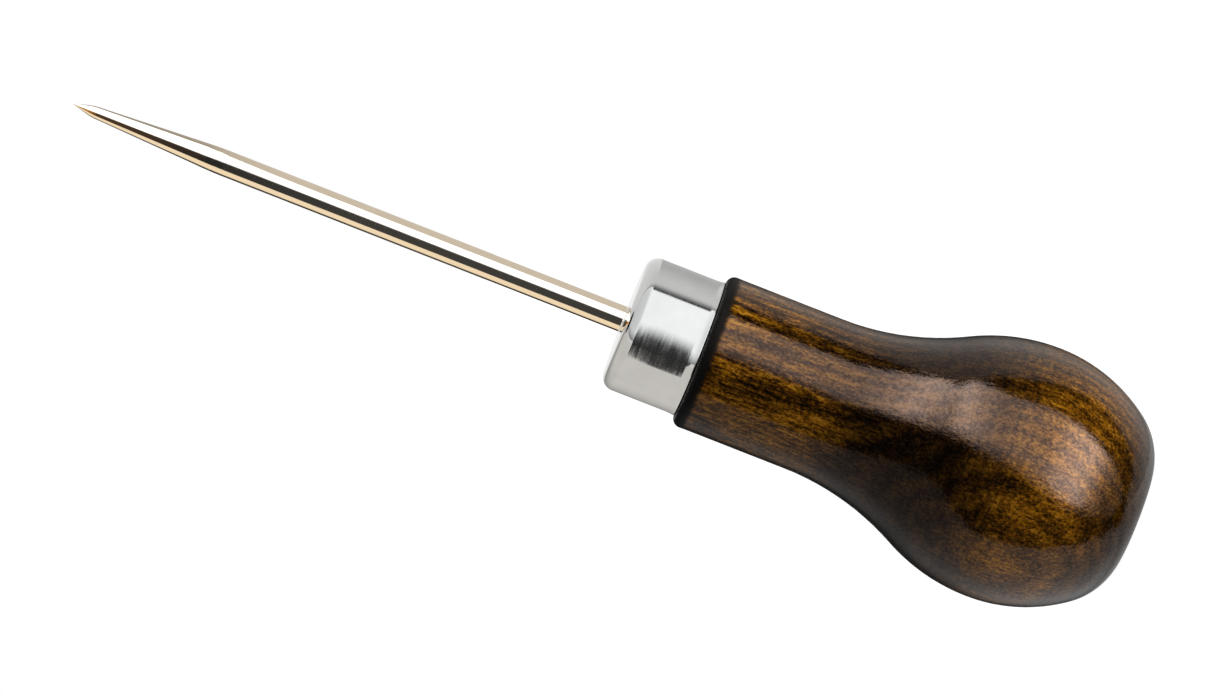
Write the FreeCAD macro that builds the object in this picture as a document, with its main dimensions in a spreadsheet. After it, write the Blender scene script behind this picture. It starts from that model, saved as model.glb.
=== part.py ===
# Scratch awl: a round steel blade set in a turned wooden handle behind a drawn metal ferrule.
# The awl stands on its butt. The origin is the centre of the butt face, and +Z runs along the
# tool's axis towards the point. Every piece is coaxial with Z. Sizes are in millimetres.
import FreeCAD, Part
import math
import os
import Sketcher
from FreeCAD import Vector

os.makedirs("parts", exist_ok=True)
doc = FreeCAD.newDocument("scratch_awl")

SIZES = {
    # the handle, from the butt up
    "butt_flat_radius": 4.7,
    "butt_corner_radius": 9.1,
    "bulb_radius": 15.97,
    "bulb_height": 15.7,
    "waist_radius": 32.6,
    "barrel_radius": 9.65,
    "barrel_start": 41.6,
    "shoulder_height": 56.2,
    "shoulder_rounding": 1.05,
    # the spigot that carries the ferrule, and the bore for the tang
    "spigot_top": 65.0,
    "spigot_chamfer": 1.2,
    "bore_radius": 2.1,
    "bore_bottom": 24.0,
    # the ferrule, a drawn cup with its nose up and a flare at its open rim
    "ferrule_radius": 8.46,
    "ferrule_wall": 0.7,
    "ferrule_nose": 65.95,
    "nose_rounding": 1.6,
    "inner_rounding": 0.9,
    "hole_radius": 1.7,
    "hole_rounding": 0.25,
    "flare_width": 0.14,
    "flare_length": 1.2,
    "rim_rounding": 0.2,
    # the blade: narrowing tang, parallel shank, long taper and point
    "tang_end_radius": 1.0,
    "tang_chamfer": 0.5,
    "shank_start": 66.2,
    "shank_radius": 1.5875,
    "taper_start": 117.3,
    "taper_blend": 44.0,
    "taper_angle": 3.14,
    "point_blend": 5.0,
    "point_angle": 15.0,
    "tip_height": 136.9,
    "tip_radius": 0.04,
    # the flattened ears that keep the tang from turning
    "ear_reach": 2.0,
    "ear_thickness": 1.1,
    "ear_bottom": 36.0,
    "ear_length": 11.0,
    "ear_slope": 2.5,
}

sheet = doc.addObject("Spreadsheet::Sheet", "Sizes")
for row, (alias, value) in enumerate(SIZES.items(), start=1):
    sheet.set(f"A{row}", alias)
    sheet.set(f"B{row}", str(value))
    sheet.setAlias(f"B{row}", alias)
doc.recompute()


class Outline:
    """A closed outline drawn edge by edge in a sketch. X is the radius and Y is the height.
    Each corner is given near its place, and the constraints then settle it exactly. A round
    edge runs smoothly into the edges beside it."""

    def __init__(self, sketch, start):
        self.sketch = sketch
        self.here = Vector(*start, 0)
        self.edges = []

    def rule(self, *terms):
        """Adds a constraint and returns its number."""
        return self.sketch.addConstraint(Sketcher.Constraint(*terms))

    def join(self, curve, begin, finish, is_round):
        """Adds an edge whose first end is begin, 1 or 2, and ties it to the edge before it."""
        index = self.sketch.addGeometry(curve, False)
        if self.edges:
            before = self.edges[-1]
            kind = "Tangent" if is_round or before["round"] else "Coincident"
            self.rule(kind, before["index"], before["end"], index, begin)
        edge = {"index": index, "begin": begin, "end": 3 - begin, "at": finish, "round": is_round}
        self.edges.append(edge)
        self.here = finish
        return edge

    def line(self, end, lies=None):
        """A straight edge; lies is Horizontal, Vertical or nothing."""
        finish = Vector(*end, 0)
        edge = self.join(Part.LineSegment(self.here, finish), 1, finish, False)
        if lies:
            self.rule(lies, edge["index"])
        return edge

    def arc(self, centre, end, clockwise=False):
        """A round edge about a centre."""
        middle = Vector(*centre, 0)
        finish = Vector(*end, 0)
        span = [math.atan2(p.y - middle.y, p.x - middle.x) for p in (self.here, finish)]
        if clockwise:
            span.reverse()
        circle = Part.Circle(middle, Vector(0, 0, 1), (self.here - middle).Length)
        return self.join(Part.ArcOfCircle(circle, *span), 2 if clockwise else 1, finish, True)

    def bend(self, corner, after, alias):
        """A straight edge towards a corner, and a round one that turns there towards after."""
        radius = SIZES[alias]
        come = (corner - self.here).normalize()
        leave = (after - corner).normalize()
        half_turn = come.getAngle(leave) / 2
        reach = radius * math.tan(half_turn)
        inward = (leave - come).normalize()
        centre = corner + inward * (radius / math.cos(half_turn))
        side = self.line((corner - come * reach)[:2])
        turning = self.arc(centre[:2], (corner + leave * reach)[:2])
        self.bind("Radius", (turning["index"],), radius, f"Sizes.{alias}")
        return side

    def close(self):
        """Ties the last edge to the first."""
        last, first = self.edges[-1], self.edges[0]
        self.rule("Coincident", last["index"], last["end"], first["index"], first["begin"])

    def bind(self, kind, terms, value, formula):
        """A dimension that follows a formula of the sheet's cells."""
        index = self.rule(kind, *terms, value)
        self.sketch.setExpression(f"Constraints[{index}]", formula)

    def place(self, edge, radius=None, height=None):
        """Sets the radius and the height of an edge's last corner."""
        corner = (-1, 1, edge["index"], edge["end"])
        if radius:
            self.bind("DistanceX", corner, edge["at"].x, radius)
        if height:
            self.bind("DistanceY", corner, edge["at"].y, height)

    def lean(self, edge, alias):
        """Leans a rising straight edge towards the axis by the angle in a cell."""
        angle = math.radians(90 + SIZES[alias])
        self.bind("Angle", (edge["index"],), angle, f"(90 + Sizes.{alias}) * 1 deg")


def new_body(name):
    """An empty body whose label is the name of its piece."""
    body = doc.addObject("PartDesign::Body", name)
    body.Label = name
    return body


def new_sketch(body, name, role="XZ_Plane"):
    """A sketch on one of the body's own origin planes."""
    sketch = body.newObject("Sketcher::SketchObject", name)
    base = next(item for item in body.Origin.OriginFeatures if item.Role == role)
    sketch.AttachmentSupport = [(base, "")]
    sketch.MapMode = "FlatFace"
    return sketch


def turn(body, sketch, name):
    """Revolves a sketch all the way about the tool's axis."""
    turned = body.newObject("PartDesign::Revolution", name)
    turned.Profile = sketch
    turned.ReferenceAxis = (sketch, ["V_Axis"])
    turned.Angle = 360
    doc.recompute()
    return turned


def ring(shape, radius, height):
    """The name of the round edge about the axis at a radius and height."""
    for number, edge in enumerate(shape.Edges, start=1):
        circle = edge.Curve
        if not isinstance(circle, Part.Circle):
            continue
        if abs(circle.Radius - radius) < 1e-4 and abs(circle.Center.z - height) < 1e-4:
            return f"Edge{number}"
    raise RuntimeError(f"no round edge of radius {radius} at height {height}")


def dress(body, kind, name, radius, height, property_name, alias):
    """Rounds or chamfers the round edge at a radius and height by one cell of the sheet."""
    base = body.Tip
    feature = body.newObject(f"PartDesign::{kind}", name)
    feature.Base = (base, [ring(base.Shape, radius, height)])
    feature.setExpression(property_name, f"Sizes.{alias}")
    doc.recompute()
    return feature


def make_handle():
    """The turned handle: butt, bulb, waist, barrel, shoulder, spigot and the drilled bore."""
    flat, corner = SIZES["butt_flat_radius"], SIZES["butt_corner_radius"]
    bulb, bulb_height = SIZES["bulb_radius"], SIZES["bulb_height"]
    barrel, barrel_start = SIZES["barrel_radius"], SIZES["barrel_start"]
    waist, shoulder = SIZES["waist_radius"], SIZES["shoulder_height"]
    spigot = SIZES["ferrule_radius"] - SIZES["ferrule_wall"]
    top = SIZES["spigot_top"]

    # The radii of the bulb's two arcs follow from touching the arcs next to them.
    inset, rise = bulb - flat, bulb_height - corner
    lower = (inset ** 2 + rise ** 2 - corner ** 2) / (2 * (inset - corner))
    swell, run = bulb - barrel, barrel_start - bulb_height
    upper = (swell ** 2 + run ** 2) / (2 * swell) - waist
    corner_centre = Vector(flat, corner, 0)
    lower_centre = Vector(bulb - lower, bulb_height, 0)
    upper_centre = Vector(bulb - upper, bulb_height, 0)
    waist_centre = Vector(barrel + waist, barrel_start, 0)
    low_touch = lower_centre + (corner_centre - lower_centre).normalize() * lower
    high_touch = upper_centre + (waist_centre - upper_centre).normalize() * upper

    body = new_body("handle")
    sketch = new_sketch(body, "handle_outline")
    outline = Outline(sketch, (0, 0))
    butt_face = outline.line((flat, 0), "Horizontal")
    butt_corner = outline.arc(corner_centre[:2], low_touch[:2])
    lower_bulb = outline.arc(lower_centre[:2], (bulb, bulb_height))
    outline.arc(upper_centre[:2], high_touch[:2])
    waist_curve = outline.arc(waist_centre[:2], (barrel, barrel_start), clockwise=True)
    barrel_side = outline.line((barrel, shoulder), "Vertical")
    shoulder_face = outline.line((spigot, shoulder), "Horizontal")
    spigot_side = outline.line((spigot, top), "Vertical")
    outline.line((0, top), "Horizontal")
    outline.line((0, 0), "Vertical")
    outline.close()
    outline.rule("Coincident", butt_face["index"], 1, -1, 1)
    outline.place(butt_face, radius="Sizes.butt_flat_radius")
    outline.bind("Radius", (butt_corner["index"],), corner, "Sizes.butt_corner_radius")
    outline.place(lower_bulb, radius="Sizes.bulb_radius", height="Sizes.bulb_height")
    outline.rule("Horizontal", lower_bulb["index"], 3, lower_bulb["index"], lower_bulb["end"])
    outline.bind("Radius", (waist_curve["index"],), waist, "Sizes.waist_radius")
    outline.place(waist_curve, radius="Sizes.barrel_radius", height="Sizes.barrel_start")
    outline.place(barrel_side, height="Sizes.shoulder_height")
    outline.place(shoulder_face, radius="Sizes.ferrule_radius - Sizes.ferrule_wall")
    outline.place(spigot_side, height="Sizes.spigot_top")
    turn(body, sketch, "handle_turning")
    dress(body, "Fillet", "shoulder_round", barrel, shoulder, "Radius", "shoulder_rounding")
    dress(body, "Chamfer", "spigot_lead", spigot, top, "Size", "spigot_chamfer")

    bore = new_sketch(body, "bore_circle", "XY_Plane")
    bore.addGeometry(Part.Circle(Vector(0, 0, 0), Vector(0, 0, 1), SIZES["bore_radius"]), False)
    bore.addConstraint(Sketcher.Constraint("Coincident", 0, 3, -1, 1))
    bore.addConstraint(Sketcher.Constraint("Radius", 0, SIZES["bore_radius"]))
    bore.setExpression("Constraints[1]", "Sizes.bore_radius")
    bore.setExpression("AttachmentOffset.Base.z", "Sizes.spigot_top")
    solid = body.Tip.Shape.Volume
    drilled = body.newObject("PartDesign::Pocket", "bore")
    drilled.Profile = bore
    drilled.setExpression("Length", "Sizes.spigot_top - Sizes.bore_bottom")
    doc.recompute()
    depth = SIZES["spigot_top"] - SIZES["bore_bottom"]
    removed = solid - body.Shape.Volume
    if abs(removed - math.pi * SIZES["bore_radius"] ** 2 * depth) > 0.01:
        raise RuntimeError("the bore does not cut the handle")
    return body


def make_ferrule():
    """The ferrule: a drawn cup over the spigot, with a hole for the blade in its nose."""
    outer, nose = SIZES["ferrule_radius"], SIZES["ferrule_nose"]
    inner, rim = outer - SIZES["ferrule_wall"], SIZES["shoulder_height"]
    hole, floor = SIZES["hole_radius"], SIZES["spigot_top"]
    flare, flare_top = SIZES["flare_width"], rim + SIZES["flare_length"]
    flare_radius = (flare ** 2 + SIZES["flare_length"] ** 2) / (2 * flare)

    body = new_body("ferrule")
    sketch = new_sketch(body, "ferrule_outline")
    outline = Outline(sketch, (outer + flare, rim))
    rim_face = outline.line((inner, rim), "Horizontal")
    inside = outline.line((inner, floor), "Vertical")
    nose_inside = outline.line((hole, floor), "Horizontal")
    hole_side = outline.line((hole, nose), "Vertical")
    nose_face = outline.line((outer, nose), "Horizontal")
    side = outline.line((outer, flare_top), "Vertical")
    outline.arc((outer + flare_radius, flare_top), (outer + flare, rim))
    outline.close()
    outline.place(rim_face, radius="Sizes.ferrule_radius - Sizes.ferrule_wall")
    outline.place(rim_face, height="Sizes.shoulder_height")
    outline.place(inside, height="Sizes.spigot_top")
    outline.place(nose_inside, radius="Sizes.hole_radius")
    outline.place(hole_side, height="Sizes.ferrule_nose")
    outline.place(nose_face, radius="Sizes.ferrule_radius")
    outline.place(side, height="Sizes.shoulder_height + Sizes.flare_length")
    outline.bind(
        "DistanceX",
        (-1, 1, rim_face["index"], rim_face["begin"]),
        outer + flare,
        "Sizes.ferrule_radius + Sizes.flare_width",
    )
    turn(body, sketch, "ferrule_turning")
    dress(body, "Fillet", "nose_round", outer, nose, "Radius", "nose_rounding")
    dress(body, "Fillet", "inner_round", inner, floor, "Radius", "inner_rounding")
    dress(body, "Fillet", "hole_round", hole, nose, "Radius", "hole_rounding")
    dress(body, "Fillet", "rim_round", outer + flare, rim, "Radius", "rim_rounding")
    return body


def make_blade():
    """The blade: tang with two ears, parallel shank, long taper and short point."""
    tang, shank = SIZES["tang_end_radius"], SIZES["shank_radius"]
    bottom, shank_start = SIZES["bore_bottom"], SIZES["shank_start"]
    tip, tip_radius = SIZES["tip_height"], SIZES["tip_radius"]

    # The taper and the point are cones that meet the shank and each other in wide bends.
    taper_angle = math.radians(SIZES["taper_angle"])
    taper_slope, point_slope = math.tan(taper_angle), math.tan(math.radians(SIZES["point_angle"]))
    taper = SIZES["taper_start"] + SIZES["taper_blend"] * math.tan(taper_angle / 2)
    drop = tip_radius + tip * point_slope - shank - taper * taper_slope
    point = drop / (point_slope - taper_slope)
    taper_corner = Vector(shank, taper, 0)
    point_corner = Vector(shank - (point - taper) * taper_slope, point, 0)
    tip_corner = Vector(tip_radius, tip, 0)

    body = new_body("blade")
    sketch = new_sketch(body, "blade_outline")
    outline = Outline(sketch, (0, bottom))
    tang_end = outline.line((tang, bottom), "Horizontal")
    tang_side = outline.line((shank, shank_start))
    shank_side = outline.bend(taper_corner, point_corner, "taper_blend")
    taper_side = outline.bend(point_corner, tip_corner, "point_blend")
    point_side = outline.line(tip_corner[:2])
    tip_end = outline.line((0, tip), "Horizontal")
    outline.line((0, bottom), "Vertical")
    outline.close()
    outline.rule("PointOnObject", tip_end["index"], tip_end["end"], -2)
    outline.place(tang_end, radius="Sizes.tang_end_radius", height="Sizes.bore_bottom")
    outline.place(tang_side, radius="Sizes.shank_radius", height="Sizes.shank_start")
    outline.rule("Vertical", shank_side["index"])
    outline.place(shank_side, height="Sizes.taper_start")
    outline.lean(taper_side, "taper_angle")
    outline.lean(point_side, "point_angle")
    outline.place(point_side, radius="Sizes.tip_radius", height="Sizes.tip_height")
    turn(body, sketch, "blade_turning")
    dress(body, "Chamfer", "tang_lead", tang, bottom, "Size", "tang_chamfer")

    # The ears are one flat six-sided plate through the tang, so they stand out on two sides.
    low, reach = SIZES["ear_bottom"], SIZES["ear_reach"]
    high, slope = low + SIZES["ear_length"], SIZES["ear_slope"]
    plate = new_sketch(body, "ear_outline")
    ears = Outline(plate, (0, low))
    right_low = ears.line((reach, low + slope))
    right_high = ears.line((reach, high - slope), "Vertical")
    peak = ears.line((0, high))
    left_high = ears.line((-reach, high - slope))
    left_low = ears.line((-reach, low + slope))
    ears.line((0, low))
    ears.close()
    ears.rule("PointOnObject", right_low["index"], 1, -2)
    ears.rule("PointOnObject", peak["index"], peak["end"], -2)
    ears.rule("Symmetric", right_low["index"], 2, left_low["index"], 2, -2)
    ears.rule("Symmetric", right_high["index"], 2, left_high["index"], 2, -2)
    ears.place(right_low, radius="Sizes.ear_reach", height="Sizes.ear_bottom + Sizes.ear_slope")
    ears.place(peak, height="Sizes.ear_bottom + Sizes.ear_length")
    ears.place(right_high, height="Sizes.ear_bottom + Sizes.ear_length - Sizes.ear_slope")
    ears.bind(
        "DistanceY",
        (-1, 1, right_low["index"], right_low["begin"]),
        low,
        "Sizes.ear_bottom",
    )
    pad = body.newObject("PartDesign::Pad", "ears")
    pad.Profile = plate
    pad.SideType = "Symmetric"
    pad.setExpression("Length", "Sizes.ear_thickness")
    doc.recompute()
    return body


def make_adhesive(blade):
    """The cured resin: what the bore holds apart from the tang."""
    filling = doc.addObject("Part::Cylinder", "bore_filling")
    filling.setExpression("Radius", "Sizes.bore_radius")
    filling.setExpression("Height", "Sizes.spigot_top - Sizes.bore_bottom")
    filling.setExpression("Placement.Base.z", "Sizes.bore_bottom")
    adhesive = doc.addObject("Part::Cut", "tang_adhesive")
    adhesive.Label = "tang_adhesive"
    adhesive.Base = filling
    adhesive.Tool = blade
    doc.recompute()
    return adhesive


def main():
    handle = make_handle()
    ferrule = make_ferrule()
    blade = make_blade()
    adhesive = make_adhesive(blade)
    doc.recompute()
    for item in doc.Objects:
        if "Invalid" in item.State or "Error" in item.State:
            raise RuntimeError(f"{item.Label} failed: {item.State}")
    for piece in (handle, ferrule, blade, adhesive):
        if piece.Shape.isNull() or not piece.Shape.isValid():
            raise RuntimeError(f"{piece.Label} has no valid shape")
        if len(piece.Shape.Solids) != 1:
            raise RuntimeError(f"{piece.Label} is not one solid")
        piece.Shape.exportStep(f"parts/{piece.Label}.step")
        box = piece.Shape.BoundBox
        print(f"{piece.Label}: {piece.Shape.Volume:.2f} mm3, z {box.ZMin:.3f} to {box.ZMax:.3f}")


main()
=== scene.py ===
"""Scratch awl: materials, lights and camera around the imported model. Metres; +Z along the awl."""
import math

import bpy
from mathutils import Matrix, Vector


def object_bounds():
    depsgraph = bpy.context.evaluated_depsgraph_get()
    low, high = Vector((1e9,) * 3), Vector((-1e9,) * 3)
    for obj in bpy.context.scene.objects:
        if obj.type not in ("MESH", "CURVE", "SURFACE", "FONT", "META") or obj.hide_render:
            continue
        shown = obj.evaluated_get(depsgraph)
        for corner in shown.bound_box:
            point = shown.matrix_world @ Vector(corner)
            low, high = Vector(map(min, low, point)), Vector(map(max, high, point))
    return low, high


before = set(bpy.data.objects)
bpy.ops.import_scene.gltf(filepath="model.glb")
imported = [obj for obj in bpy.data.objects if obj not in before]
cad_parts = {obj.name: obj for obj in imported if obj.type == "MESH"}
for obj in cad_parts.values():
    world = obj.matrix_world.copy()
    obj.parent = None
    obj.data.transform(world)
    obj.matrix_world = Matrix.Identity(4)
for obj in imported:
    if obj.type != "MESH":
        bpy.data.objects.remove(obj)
cad_low, cad_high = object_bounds()
MM = 0.001
FULL_TURN = 360
WHITE = (1.0, 1.0, 1.0)


# ---------------------------------------------------------------- node helpers
def new_material(name):
    """A material with one Principled shader; returns (material, tree, shader)."""
    material = bpy.data.materials.new(name)
    material.use_nodes = True
    tree = material.node_tree
    return material, tree, tree.nodes["Principled BSDF"]


def node(tree, kind, inputs=None, **settings):
    """Adds a node; settings are its properties and inputs its values or links."""
    made = tree.nodes.new(kind)
    for name, value in settings.items():
        setattr(made, name, value)
    for key, value in (inputs or {}).items():
        if isinstance(value, bpy.types.NodeSocket):
            tree.links.new(value, made.inputs[key])
        else:
            made.inputs[key].default_value = value
    return made


def calc(tree, operation, a, b=0.0, c=0.0):
    """One step of arithmetic; a, b and c are numbers or sockets."""
    return node(tree, "ShaderNodeMath", {0: a, 1: b, 2: c}, operation=operation).outputs[0]


def smooth(tree, value, low, high, start=0.0, end=1.0):
    """Eases from start to end while the value goes from low to high."""
    inputs = {"Value": value, "From Min": low, "From Max": high, "To Min": start, "To Max": end}
    made = node(tree, "ShaderNodeMapRange", inputs, interpolation_type="SMOOTHSTEP")
    return made.outputs["Result"]


def grey(tree, value):
    """The same value in all three channels."""
    return node(tree, "ShaderNodeCombineXYZ", {0: value, 1: value, 2: value}).outputs[0]


def ramp(tree, value, stops):
    """A colour ramp; stops are (value, colour) pairs over any range of values."""
    first, last = stops[0][0], stops[-1][0]
    span = {"Value": value, "From Min": first, "From Max": last}
    place = node(tree, "ShaderNodeMapRange", span).outputs["Result"]
    made = node(tree, "ShaderNodeValToRGB", {"Fac": place})
    points = made.color_ramp.elements
    while len(points) < len(stops):
        points.new(0.5)
    for point, (position, colour) in zip(points, stops):
        point.position = (position - first) / (last - first)
        point.color = (*colour, 1)
    return made.outputs["Color"]


def grey_ramp(tree, value, stops):
    """A ramp of plain numbers from 0 to 1; stops are (value, number) pairs."""
    return ramp(tree, value, [(position, (number,) * 3) for position, number in stops])


def blend(tree, factor, a, b, kind="MIX"):
    """Mixes two colours."""
    made = tree.nodes.new("ShaderNodeMix")
    made.data_type = "RGBA"
    made.blend_type = kind
    for index, value in ((0, factor), (6, a), (7, b)):
        if isinstance(value, bpy.types.NodeSocket):
            tree.links.new(value, made.inputs[index])
        else:
            made.inputs[index].default_value = (*value, 1) if isinstance(value, tuple) else value
    return made.outputs[2]


def place_mm(tree, factors=(1, 1, 1), offset=(0, 0, 0)):
    """Object coordinates in millimetres, squeezed by a factor along each axis."""
    coordinates = node(tree, "ShaderNodeTexCoord").outputs["Object"]
    scale = tuple(factor / MM for factor in factors)
    inputs = {"Vector": coordinates, "Scale": scale, "Location": offset}
    return node(tree, "ShaderNodeMapping", inputs).outputs[0]


def noise(tree, place, scale, detail=3.0, roughness=0.5):
    """Fractal noise from 0 to 1; scale is in cycles per millimetre before squeezing."""
    inputs = {"Vector": place, "Scale": scale, "Detail": detail, "Roughness": roughness}
    return node(tree, "ShaderNodeTexNoise", inputs).outputs["Fac"]


# ---------------------------------------------------------------- light tents
# Each piece has a light tent of its own: a drum of glowing cloth round the awl, which only that
# piece mirrors. Round a drum, azimuth 0 is towards the camera and +90 is towards +X. A tent has
# upright sheets, and what lies between them hardly glows. A sheet's edges lean, so they are
# (height in mm, azimuth in degrees) stops, each with its blur in degrees. A sheet's glow is
# (height in mm, brightness) stops with one tint.
FOOT, HEAD = -300, 300


def level(value):
    """Stops that keep one value from the foot to the head of a sheet."""
    return [(FOOT, value), (HEAD, value)]


HANDLE_TENT = {
    "unlit": 0.02,
    "sheets": {
        "softbox": {
            "start": [(FOOT, -14), (-110, -8), (-40, 0), (20, 8), (60, 9), (133, 18), (HEAD, 20)],
            "start_blur": 9,
            "end": [(FOOT, 62), (0, 62), (50, 61), (90, 73), (115, 78), (165, 68), (HEAD, 62)],
            "end_blur": 1.5,
            "glow": [
                (FOOT, 0.2), (-190, 0.9), (-110, 4.2), (-60, 3.6), (-20, 1.6), (60, 1.35),
                (90, 2.0), (125, 3.6), (150, 2.8), (190, 0.9), (HEAD, 0.5),
            ],
            "tint": (1.0, 0.99, 0.98),
        },
        "upper": {
            "start": [(FOOT, 106), (-60, 102), (-10, 94), (40, 86), (65, 86), (100, 79), (HEAD, 84)],
            "start_blur": 4,
            "end": [(FOOT, 162), (-60, 156), (0, 146), (HEAD, 146)],
            "end_blur": 18,
            "glow": [(FOOT, 0.25), (-100, 0.4), (0, 0.42), (48, 0.46), (100, 0.32), (HEAD, 0.2)],
            "tint": (1.0, 0.98, 0.95),
        },
        "rear": {
            "start": [(FOOT, 154), (-60, 158), (20, 168), (HEAD, 172)],
            "start_blur": 3,
            "end": [(FOOT, 200), (-60, 196), (20, 192), (HEAD, 192)],
            "end_blur": 3,
            "glow": [(FOOT, 0.25), (-40, 0.25), (10, 1.0), (HEAD, 1.1)],
            "tint": WHITE,
        },
        "lower": {
            "start": [(FOOT, -165), (-60, -160), (20, -136), (HEAD, -132)],
            "start_blur": 18,
            "end": [(FOOT, -60), (45, -60), (65, -56), (120, -44), (200, -40), (HEAD, -39)],
            "end_blur": 1.5,
            "glow": [
                (FOOT, 0.3), (-80, 0.45), (-20, 0.38), (20, 0.25), (47, 0.22), (100, 0.125),
                (HEAD, 0.12),
            ],
            "tint": (0.95, 1.0, 1.03),
        },
    },
}
FERRULE_TENT = {
    "unlit": 0.04,
    "sheets": {
        "softbox": {
            "start": [
                (FOOT, -16), (49, -16), (51.5, -3), (56, -1), (59, -5), (61, -17), (82, -22),
                (HEAD, -22),
            ],
            "start_blur": 14,
            "end": [(FOOT, 64.7), (70, 64.7), (75, 69), (HEAD, 69)],
            "end_blur": 1.2,
            "glow": [(FOOT, 1.38), (68, 1.38), (80, 1.25), (98, 0.92), (HEAD, 0.82)],
            "tint": (0.985, 1.0, 1.012),
        },
        "upper": {
            "start": [(FOOT, 73), (68, 73), (73, 71), (HEAD, 71)],
            "start_blur": 8,
            "end": level(112),
            "end_blur": 26,
            "glow": [(FOOT, 0.79), (80, 0.79), (HEAD, 0.9)],
            "tint": WHITE,
        },
        "rear": {
            "start": level(112),
            "start_blur": 26,
            "end": level(200),
            "end_blur": 1,
            "glow": [(FOOT, 0.54), (60, 0.54), (68, 0.9), (HEAD, 0.85)],
            "tint": (1.0, 1.0, 0.99),
        },
        "lower": {
            "start": level(-155),
            "start_blur": 45,
            "end": [
                (FOOT, -42), (49.5, -46), (51.5, -54.5), (57, -55.5), (59.5, -48), (61, -34),
                (80, -27), (HEAD, -27),
            ],
            "end_blur": 1.2,
            "glow": [(FOOT, 0.82), (72, 0.82), (95, 0.78), (HEAD, 0.78)],
            "tint": (1.0, 0.965, 0.91),
        },
    },
}
BLADE_TENT = {
    "unlit": 0.012,
    "sheets": {
        "haze": {
            "start": level(-70),
            "start_blur": 3,
            "end": level(12),
            "end_blur": 8,
            "glow": [(FOOT, 0.045), (100, 0.045), (128, 0.012), (HEAD, 0.0)],
            "tint": (1.0, 0.95, 0.88),
        },
        "softbox": {
            "start": [(FOOT, 5), (120, 5), (150, 0), (HEAD, -4)],
            "start_blur": 8,
            "end": [(FOOT, 62), (112, 62), (128, 84), (150, 108), (HEAD, 118)],
            "end_blur": 4,
            "glow": level(2.2),
            "tint": WHITE,
        },
        "upper": {
            "start": [(FOOT, 63), (112, 63), (128, 85), (150, 108), (HEAD, 118)],
            "start_blur": 4,
            "end": [(FOOT, 160), (HEAD, 170)],
            "end_blur": 15,
            "glow": [(FOOT, 0.70), (112, 0.70), (135, 0.38), (HEAD, 0.22)],
            "tint": (1.0, 0.89, 0.74),
        },
        "rear": {
            "start": level(168),
            "start_blur": 10,
            "end": level(200),
            "end_blur": 1,
            "glow": level(0.35),
            "tint": (1.0, 0.93, 0.85),
        },
        "lower": {
            "start": level(-122),
            "start_blur": 10,
            "end": [(FOOT, -66), (115, -66), (HEAD, -58)],
            "end_blur": 2,
            "glow": [(FOOT, 1.0), (90, 1.05), (HEAD, 1.12)],
            "tint": (1.0, 0.82, 0.58),
        },
        "amber": {
            "start": level(-62),
            "start_blur": 2,
            "end": [(FOOT, 10), (HEAD, 4)],
            "end_blur": 8,
            "glow": [(FOOT, 0.0), (136, 0.0), (155, 0.07), (190, 0.3), (HEAD, 0.8)],
            "tint": (1.0, 0.42, 0.06),
        },
    },
}
TENTS = {"handle": HANDLE_TENT, "ferrule": FERRULE_TENT, "blade": BLADE_TENT}
BRIGHTEST = 5.0  # no sheet glows as much as this
SEAM = -165  # azimuths run once round from here, which is behind the awl
TENT_RADIUS = 0.150
TENT_REACH = 0.900  # a drum's top and bottom edges are this far from the butt
TENT_GAP = 0.001  # each drum is this much wider than the one inside it
TENT_SIDES = 180


def height_curve(tree, height, stops, full):
    """A number that follows the height by (height, number) stops, between -full and full."""
    halved = grey_ramp(tree, height, [(z, number / full / 2 + 0.5) for z, number in stops])
    return calc(tree, "MULTIPLY_ADD", halved, 2 * full, -full)


def sheet_glow(tree, sheet, height, azimuth):
    """The light of one sheet at a height and an azimuth."""
    amount = height_curve(tree, height, sheet["glow"], BRIGHTEST)
    for edge, inward in (("start", 1), ("end", -1)):
        past = calc(tree, "SUBTRACT", azimuth, height_curve(tree, height, sheet[edge], FULL_TURN))
        blur = inward * sheet[edge + "_blur"]
        amount = calc(tree, "MULTIPLY", amount, smooth(tree, past, -blur, blur))
    return blend(tree, 1.0, grey(tree, amount), sheet["tint"], "MULTIPLY")


def tent_material(name, plan):
    """Glowing cloth that lets everything else through."""
    material = bpy.data.materials.new(name)
    material.use_nodes = True
    material.cycles.emission_sampling = "NONE"
    tree = material.node_tree
    tree.nodes.clear()
    coordinates = node(tree, "ShaderNodeTexCoord").outputs["Object"]
    parts = node(tree, "ShaderNodeSeparateXYZ", {0: coordinates})
    height = calc(tree, "DIVIDE", parts.outputs["Z"], MM)
    toward_camera = calc(tree, "MULTIPLY", parts.outputs["Y"], -1.0)
    radians = calc(tree, "ARCTAN2", parts.outputs["X"], toward_camera)
    azimuth = calc(tree, "WRAP", calc(tree, "DEGREES", radians), FULL_TURN + SEAM, SEAM)
    total = (plan["unlit"],) * 3
    for sheet in plan["sheets"].values():
        total = blend(tree, 1.0, total, sheet_glow(tree, sheet, height, azimuth), "ADD")
    glowing = node(tree, "ShaderNodeEmission", {"Color": total})
    clear = node(tree, "ShaderNodeBsdfTransparent")
    both = node(tree, "ShaderNodeAddShader", {0: glowing.outputs[0], 1: clear.outputs[0]})
    output = tree.nodes.new("ShaderNodeOutputMaterial")
    tree.links.new(both.outputs[0], output.inputs["Surface"])
    return material


def drum_mesh(name, radius):
    """The upright wall of a drum, open at both ends."""
    vertices = []
    for step in range(TENT_SIDES):
        angle = 2 * math.pi * step / TENT_SIDES
        x, y = radius * math.cos(angle), radius * math.sin(angle)
        vertices += [(x, y, -TENT_REACH), (x, y, TENT_REACH)]
    faces = []
    for step in range(TENT_SIDES):
        a, b = 2 * step, 2 * ((step + 1) % TENT_SIDES)
        faces.append((a, b, b + 1, a + 1))
    mesh = bpy.data.meshes.new(name)
    mesh.from_pydata(vertices, [], faces)
    return mesh


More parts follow.
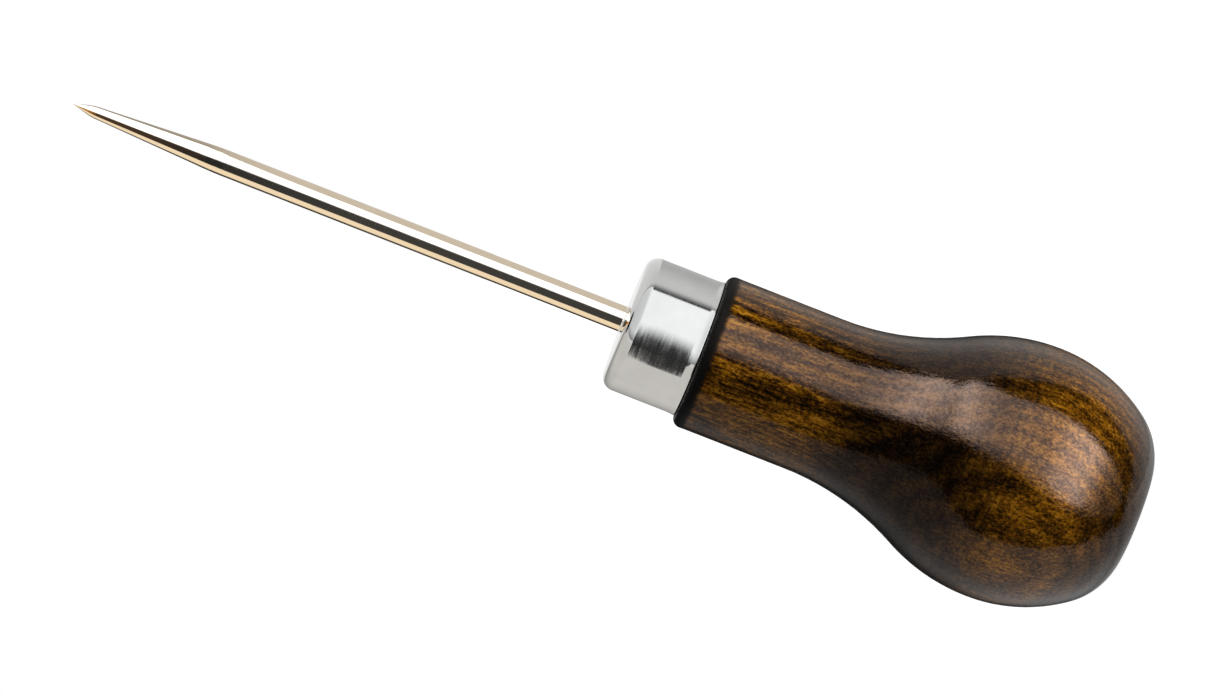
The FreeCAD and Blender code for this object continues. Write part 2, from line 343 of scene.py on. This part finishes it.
def build_tent(piece_name, plan, radius):
    """A drum whose glow only one piece mirrors."""
    name = piece_name + "_tent"
    mesh = drum_mesh(name, radius)
    mesh.materials.append(tent_material(name, plan))
    tent = bpy.data.objects.new(name, mesh)
    bpy.context.scene.collection.objects.link(tent)
    tent.visible_camera = False
    tent.visible_diffuse = False
    tent.visible_shadow = False
    tent.visible_transmission = False
    receivers = bpy.data.collections.new(name + "_receivers")
    receivers.objects.link(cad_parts[piece_name])
    tent.light_linking.receiver_collection = receivers


# ---------------------------------------------------------------- lights and floor
KEY_POWER = 9
KEY_DIAMETER = 0.6
KEY_AZIMUTH, KEY_ELEVATION = math.radians(50), math.radians(20)
KEY_DISTANCE = 1.0
AMBIENT = 0.44
FLOOR_SIZE = 4.0
FLOOR_DROP = 0.00002
FLOOR_GREY = (0.5, 0.5, 0.5, 1)
FLOOR_GLOW = 0.95


def build_lights():
    """One large soft light on the softbox's side, which models the wood."""
    light = bpy.data.lights.new("key", "AREA")
    light.shape = "DISK"
    light.size = KEY_DIAMETER
    light.energy = KEY_POWER
    key = bpy.data.objects.new("key", light)
    flat = Vector((math.sin(KEY_AZIMUTH), -math.cos(KEY_AZIMUTH), 0)) * math.cos(KEY_ELEVATION)
    key.location = (flat + Vector((0, 0, math.sin(KEY_ELEVATION)))) * KEY_DISTANCE
    key.rotation_euler = key.location.to_track_quat("Z", "Y").to_euler()
    key.visible_glossy = False
    bpy.context.scene.collection.objects.link(key)


def build_world():
    """Even soft light; the camera sees plain white, and mirrors see the tents alone."""
    world = bpy.data.worlds.new("studio")
    bpy.context.scene.world = world
    world.use_nodes = True
    tree = world.node_tree
    tree.nodes.clear()
    rays = node(tree, "ShaderNodeLightPath").outputs
    ambient = calc(tree, "MULTIPLY", rays["Is Diffuse Ray"], AMBIENT)
    seen = calc(tree, "MAXIMUM", rays["Is Camera Ray"], ambient)
    even = node(tree, "ShaderNodeBackground", {"Color": (*WHITE, 1), "Strength": seen})
    output = tree.nodes.new("ShaderNodeOutputWorld")
    tree.links.new(even.outputs[0], output.inputs["Surface"])


def build_floor():
    """A plain white floor, just clear of the butt, which glows so that shadows hardly show."""
    mesh = bpy.data.meshes.new("floor")
    corners = [(x * FLOOR_SIZE, y * FLOOR_SIZE, 0) for x, y in ((-1, -1), (1, -1), (1, 1), (-1, 1))]
    mesh.from_pydata(corners, [], [(0, 1, 2, 3)])
    floor = bpy.data.objects.new("floor", mesh)
    bpy.context.scene.collection.objects.link(floor)
    floor.location.z = cad_low.z - FLOOR_DROP
    material, _, shader = new_material("floor_sheet")
    shader.inputs["Base Color"].default_value = FLOOR_GREY
    shader.inputs["Roughness"].default_value = 0.9
    shader.inputs["Specular IOR Level"].default_value = 0.0
    shader.inputs["Emission Color"].default_value = (*WHITE, 1)
    shader.inputs["Emission Strength"].default_value = FLOOR_GLOW
    mesh.materials.append(material)
    floor.visible_glossy = False
    floor.visible_diffuse = False


# ---------------------------------------------------------------- camera
# The camera looks from -Y, a little above level. The awl slopes down to the right, and the
# picture is a little wider than the awl is long. Width and aim are in lengths of the awl.
VIEW_ELEVATION = math.radians(2.0)
AWL_SLOPE = math.radians(21.4)
PICTURE_WIDTH = 1.073
SIDEWAYS, ALONG = -0.027, 0.4828
LENS_MM, SENSOR_MM = 300.0, 36.0


def build_camera():
    """A long lens, rolled so that the point is up on the left."""
    length = cad_high.z - cad_low.z
    distance = LENS_MM / SENSOR_MM * PICTURE_WIDTH * length
    target = Vector((SIDEWAYS * length, 0, ALONG * length))
    back = Vector((0, -math.cos(VIEW_ELEVATION), math.sin(VIEW_ELEVATION)))
    level_up = Vector((0, math.sin(VIEW_ELEVATION), math.cos(VIEW_ELEVATION)))
    level_right = Vector((1, 0, 0))
    right = level_right * math.sin(AWL_SLOPE) - level_up * math.cos(AWL_SLOPE)
    up = level_right * math.cos(AWL_SLOPE) + level_up * math.sin(AWL_SLOPE)
    data = bpy.data.cameras.new("camera")
    data.sensor_width = SENSOR_MM
    data.lens = LENS_MM
    camera = bpy.data.objects.new("camera", data)
    turned = Matrix((right, up, back)).transposed().to_4x4()
    camera.matrix_world = Matrix.Translation(target + back * distance) @ turned
    bpy.context.scene.collection.objects.link(camera)
    bpy.context.scene.camera = camera


# ---------------------------------------------------------------- wood
# Heights, spacings and the pith's place are in millimetres. The first table says how much of its
# colour the wood keeps by height. It holds the stain, plus painted shade that darkens the waist and
# the bulb's underside round the butt. Where it goes above 1, on the bulb's lower band, it is painted
# light.
# CHAR is 1 on plain wood and 0 on the blackened shoulder.
STAIN_AND_PAINTED_SHADE = [
    (-1, 0.08), (2, 0.20), (5, 0.60), (8, 1.25), (14, 1.30), (17, 0.75), (20, 0.28), (24, 0.07),
    (31, 0.05), (36, 0.17), (42, 0.60), (48, 0.75), (66, 0.75),
]
STAIN_AND_SHADE_WANDER = 6.0
CHAR = [(54.5, 1.0), (54.9, 0.10), (55.2, 0.0)]
CHAR_WANDER = 0.5
AMBER = [
    (0.37, (0.003, 0.0012, 0.0002)),
    (0.44, (0.022, 0.008, 0.0003)),
    (0.50, (0.085, 0.031, 0.0009)),
    (0.56, (0.205, 0.080, 0.0025)),
    (0.63, (0.400, 0.175, 0.0120)),
]
COPPER = [(0.43, (0.42, 0.20, 0.12)), (0.57, (1.0, 0.48, 0.20))]
CHAR_BLACK = (0.003, 0.0028, 0.0026)
CHAR_SHEEN = (0.08, 0.075, 0.07)
PORE_BLACK = (0.003, 0.0015, 0.001)
PORE_DEPTH = 0.75
PITH = (25.0, 25.0)
RING_SPACING = 1.7
RING_WANDER = 3.5
RING_SHARE = 0.09
GRAIN_SHARE = 0.90  # fibre and grit together
FLECK_SHARE = 0.42
EVEN_TONE = 0.50
LACQUER_SWELL = 0.00004


def growth_rings(tree, parts):
    """Rings about a pith that lies outside the handle, from 0 to 1."""
    across = [
        calc(tree, "SUBTRACT", parts.outputs[axis], centre) for axis, centre in zip("XY", PITH)
    ]
    squares = [calc(tree, "MULTIPLY", side, side) for side in across]
    radius = calc(tree, "SQRT", calc(tree, "ADD", *squares))
    wander = noise(tree, place_mm(tree, (1, 1, 0.3)), 0.16, 3, 0.5)
    radius = calc(tree, "MULTIPLY_ADD", wander, RING_WANDER, radius)
    phase = calc(tree, "MULTIPLY", radius, 2 * math.pi / RING_SPACING)
    return calc(tree, "MULTIPLY_ADD", calc(tree, "SINE", phase), 0.5, 0.5)


def wood_tone(tree, parts, fibre, grit):
    """How light the wood is at each spot: fibres, grit, rings and, on the waist, cross flecks."""
    height = parts.outputs["Z"]
    lined = smooth(tree, height, 18.0, 38.0, 0.30, 0.52)
    tone = calc(tree, "MULTIPLY", fibre, lined)
    tone = calc(tree, "MULTIPLY_ADD", growth_rings(tree, parts), RING_SHARE, tone)
    tone = calc(tree, "MULTIPLY_ADD", grit, calc(tree, "SUBTRACT", GRAIN_SHARE, lined), tone)
    figure = noise(tree, place_mm(tree, (0.3, 0.3, 1)), 1.3, 3, 0.6)
    figured = smooth(tree, height, 12.0, 19.0)
    figured = calc(tree, "MULTIPLY", figured, smooth(tree, height, 25.0, 36.0, 1.0, 0.0))
    flecks = calc(tree, "MULTIPLY", calc(tree, "SUBTRACT", figure, 0.5), figured)
    tone = calc(tree, "MULTIPLY_ADD", flecks, FLECK_SHARE, tone)
    # the bulb is sanded finer than the barrel, so its figure is fainter
    contrast = smooth(tree, height, 16.0, 40.0, 0.62, 1.0)
    off_even = calc(tree, "SUBTRACT", tone, EVEN_TONE)
    return calc(tree, "MULTIPLY_ADD", off_even, contrast, EVEN_TONE)


def wandering(tree, height, drift, reach):
    """A height that wanders by up to half the reach each way with a noise."""
    return calc(tree, "MULTIPLY_ADD", drift, reach, calc(tree, "SUBTRACT", height, reach / 2))


def wood_colour(tree, tone, height, char):
    """Amber wood, darkened by the stain and its clouds, by painted shade in the waist and round the
    butt, lightened by painted light low on the bulb, and darkened by the pores and the char.
    """
    cloud = noise(tree, place_mm(tree, (1, 1, 0.5), (7, 3, 0)), 0.16, 3, 0.55)
    # the stain by height, with painted shade in the waist and round the butt and painted light on
    # the bulb's lower band
    stain_and_shade = grey_ramp(tree, wandering(tree, height, cloud, STAIN_AND_SHADE_WANDER), STAIN_AND_PAINTED_SHADE)
    colour = blend(tree, 1.0, ramp(tree, tone, AMBER), stain_and_shade, "MULTIPLY")
    patchy = grey(tree, smooth(tree, cloud, 0.35, 0.65, 0.6, 1.25))
    colour = blend(tree, 1.0, colour, patchy, "MULTIPLY")
    cells = {"Vector": place_mm(tree, (1.1, 1.1, 0.26)), "Scale": 1.1}
    pores = node(tree, "ShaderNodeTexVoronoi", cells)
    pore = smooth(tree, pores.outputs["Distance"], 0.12, 0.28, PORE_DEPTH, 0.0)
    colour = blend(tree, pore, colour, PORE_BLACK)
    return blend(tree, char, CHAR_BLACK, colour)


def lacquer_bump(tree, fibre, grit, char):
    """The slow swell of the brushed lacquer over the fibres; the char has none."""
    brushed = noise(tree, place_mm(tree, (1, 1, 0.6)), 0.8, 3, 0.55)
    swell = calc(tree, "MULTIPLY_ADD", fibre, 0.25, calc(tree, "MULTIPLY", grit, 0.25))
    swell = calc(tree, "ADD", swell, brushed)
    inputs = {"Height": swell, "Strength": char, "Distance": LACQUER_SWELL}
    return node(tree, "ShaderNodeBump", inputs).outputs[0]


def wood_material():
    """Turned hardwood under dark stain and a clear lacquer."""
    material, tree, shader = new_material("stained_wood")
    inputs = shader.inputs
    parts = node(tree, "ShaderNodeSeparateXYZ", {0: place_mm(tree)})
    height = parts.outputs["Z"]
    fibre = noise(tree, place_mm(tree, (1, 1, 0.17)), 2.3, 3, 0.7)
    grit = noise(tree, place_mm(tree, (1, 1, 0.7)), 3.2, 2, 0.75)
    tone = wood_tone(tree, parts, fibre, grit)
    char = grey_ramp(tree, wandering(tree, height, grit, CHAR_WANDER), CHAR)
    tree.links.new(wood_colour(tree, tone, height, char), inputs["Base Color"])
    gloss = smooth(tree, grit, 0.3, 0.7, 0.09, 0.17)
    dull = calc(tree, "SUBTRACT", 0.5, calc(tree, "MULTIPLY", char, 0.5))
    tree.links.new(calc(tree, "MAXIMUM", gloss, dull), inputs["Roughness"])
    # the fibres under the lacquer glint in copper, each by its own amount
    glint = blend(tree, char, CHAR_SHEEN, ramp(tree, tone, COPPER))
    tree.links.new(glint, inputs["Specular Tint"])
    inputs["IOR"].default_value = 1.5
    inputs["Specular IOR Level"].default_value = 1.0
    film = calc(tree, "MULTIPLY", smooth(tree, grit, 0.35, 0.65, 0.55, 0.90), char)
    tree.links.new(film, inputs["Coat Weight"])
    inputs["Coat Roughness"].default_value = 0.045
    inputs["Coat IOR"].default_value = 1.5
    bump = lacquer_bump(tree, fibre, grit, char)
    tree.links.new(bump, inputs["Coat Normal"])
    tree.links.new(bump, inputs["Normal"])
    return material


# ---------------------------------------------------------------- metals and resin
NICKEL = [(0.3, (0.59, 0.59, 0.585)), (0.7, (0.64, 0.64, 0.63))]
NICKEL_DENTS = 0.0000035
STEEL = [(0.3, (0.80, 0.76, 0.69)), (0.7, (0.84, 0.80, 0.73))]
STEEL_GRINDING = 0.000003
RESIN = [(0.3, (0.45, 0.28, 0.08)), (0.7, (0.62, 0.42, 0.16))]


def nickel_material():
    """Bright nickel plate on drawn brass, with faint handling marks."""
    material, tree, shader = new_material("nickel_plate")
    inputs = shader.inputs
    inputs["Metallic"].default_value = 1.0
    cloud = noise(tree, place_mm(tree), 0.4, 4, 0.6)
    tree.links.new(ramp(tree, cloud, NICKEL), inputs["Base Color"])
    turning = noise(tree, place_mm(tree, (0.12, 0.12, 1)), 2.2, 3, 0.6)
    tree.links.new(smooth(tree, turning, 0.3, 0.7, 0.05, 0.11), inputs["Roughness"])
    dents = noise(tree, place_mm(tree, (0.5, 0.5, 1.8)), 0.7, 2, 0.45)
    bump = node(tree, "ShaderNodeBump", {"Height": dents, "Distance": NICKEL_DENTS})
    tree.links.new(bump.outputs[0], inputs["Normal"])
    return material


def steel_material():
    """Ground and polished tool steel with fine marks along the blade."""
    material, tree, shader = new_material("polished_steel")
    inputs = shader.inputs
    inputs["Metallic"].default_value = 1.0
    cloud = noise(tree, place_mm(tree, (1, 1, 0.3)), 1.5, 4, 0.6)
    tree.links.new(ramp(tree, cloud, STEEL), inputs["Base Color"])
    tree.links.new(smooth(tree, cloud, 0.3, 0.7, 0.05, 0.11), inputs["Roughness"])
    grinding = noise(tree, place_mm(tree, (1, 1, 0.03)), 2.5, 3, 0.6)
    bump = node(tree, "ShaderNodeBump", {"Height": grinding, "Distance": STEEL_GRINDING})
    tree.links.new(bump.outputs[0], inputs["Normal"])
    return material


def resin_material():
    """Cured adhesive round the tang, out of sight in the bore."""
    material, tree, shader = new_material("cured_resin")
    cloud = noise(tree, place_mm(tree), 0.9, 3, 0.5)
    tree.links.new(ramp(tree, cloud, RESIN), shader.inputs["Base Color"])
    tree.links.new(smooth(tree, cloud, 0.3, 0.7, 0.2, 0.35), shader.inputs["Roughness"])
    return material


def finish_node(name, material):
    """Gives a CAD node its material."""
    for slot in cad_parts[name].material_slots:
        slot.material = material


# ---------------------------------------------------------------- scene
build_world()
for count, (piece_name, plan) in enumerate(TENTS.items()):
    build_tent(piece_name, plan, TENT_RADIUS + count * TENT_GAP)
build_lights()
build_floor()
build_camera()
finish_node("handle", wood_material())
finish_node("ferrule", nickel_material())
finish_node("blade", steel_material())
finish_node("tang_adhesive", resin_material())

bpy.context.scene.view_settings.view_transform = "Standard"
